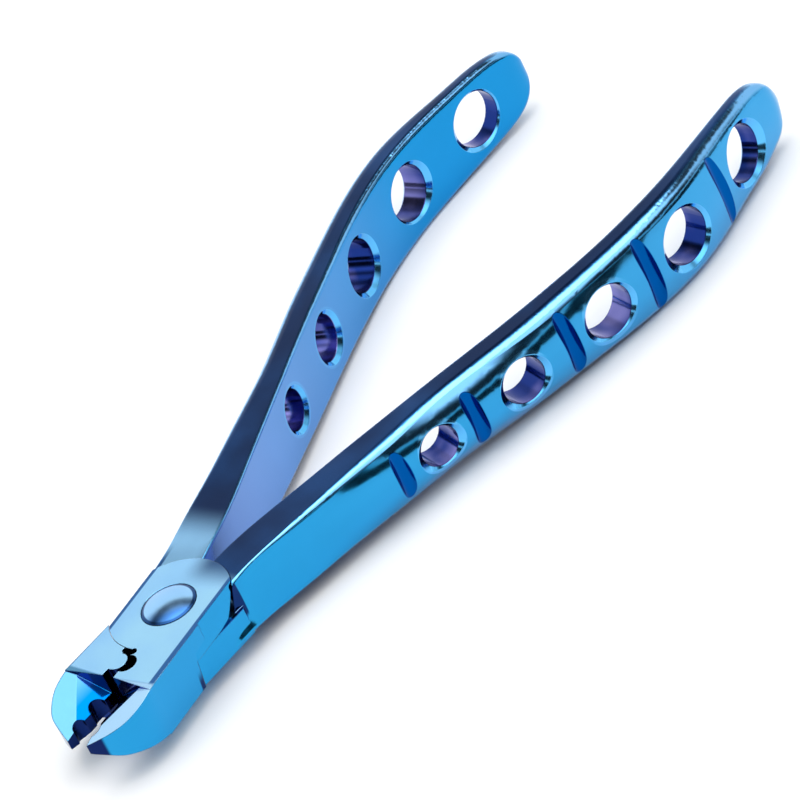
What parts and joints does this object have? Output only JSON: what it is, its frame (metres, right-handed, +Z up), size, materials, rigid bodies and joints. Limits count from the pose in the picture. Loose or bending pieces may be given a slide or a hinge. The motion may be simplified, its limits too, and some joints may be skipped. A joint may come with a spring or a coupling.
{
  "type": "crimping pliers",
  "caption": "Small lap-joint hand pliers with notched, meshing crimping jaws and curved handles drilled with round holes and cut with thumb flutes.",
  "frame": {"origin": "middle of the tool's underside as it lies flat with the jaws a few degrees open, on the plane the handles rest on", "axes": "+Y runs along the tool from the jaws to the handle ends, +Z is up and parallel to the pivot, +X is towards the handle of the lower half"},
  "size_m": [0.0624, 0.1492, 0.0151],
  "materials": {
    "blue_steel_lower": "blue coated, polished sides and finely brushed flats",
    "blue_steel_upper": "blue coated, polished sides and finely brushed flats",
    "blue_steel_rivet": "blue coated, satin"
  },
  "bodies": {
    "lower_half": {"lower_lap_half": "blue_steel_lower", "rivet_front": "blue_steel_rivet", "rivet_back": "blue_steel_rivet"},
    "upper_half": {"upper_lap_half": "blue_steel_upper"}
  },
  "joints": [
    {"name": "pivot", "type": "hinge", "parent": "lower_half", "child": "upper_half", "pos_m": [0, -0.04935, 0.00754], "axis": [0, 0, 1], "range_deg": [-8.3, 20]}
  ]
}
